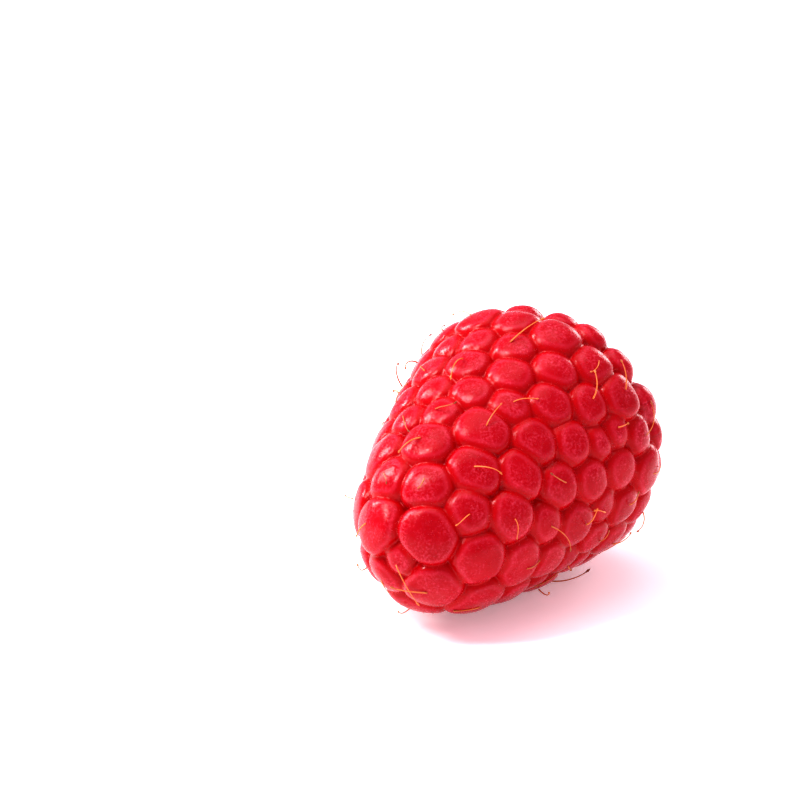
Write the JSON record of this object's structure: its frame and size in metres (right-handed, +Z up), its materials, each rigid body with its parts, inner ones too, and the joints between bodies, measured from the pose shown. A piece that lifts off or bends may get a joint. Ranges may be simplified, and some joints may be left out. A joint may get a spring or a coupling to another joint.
{
  "type": "raspberry",
  "caption": "Ripe red raspberry, picked off its core and lying on its side, with a hollow that opens at the wide end.",
  "frame": {"origin": "middle of the underside: the centre of the bounding box in X and Y, on the surface that the berry lies on", "axes": "+X from the tip towards the open end, which is tilted up; +Z up; +Y across the berry"},
  "size_m": [0.026, 0.021, 0.0207],
  "materials": {
    "skin": "soft gloss, juicy, with a fine velvety bloom"
  },
  "bodies": {
    "root": {"raspberry": "skin"}
  },
  "joints": []
}
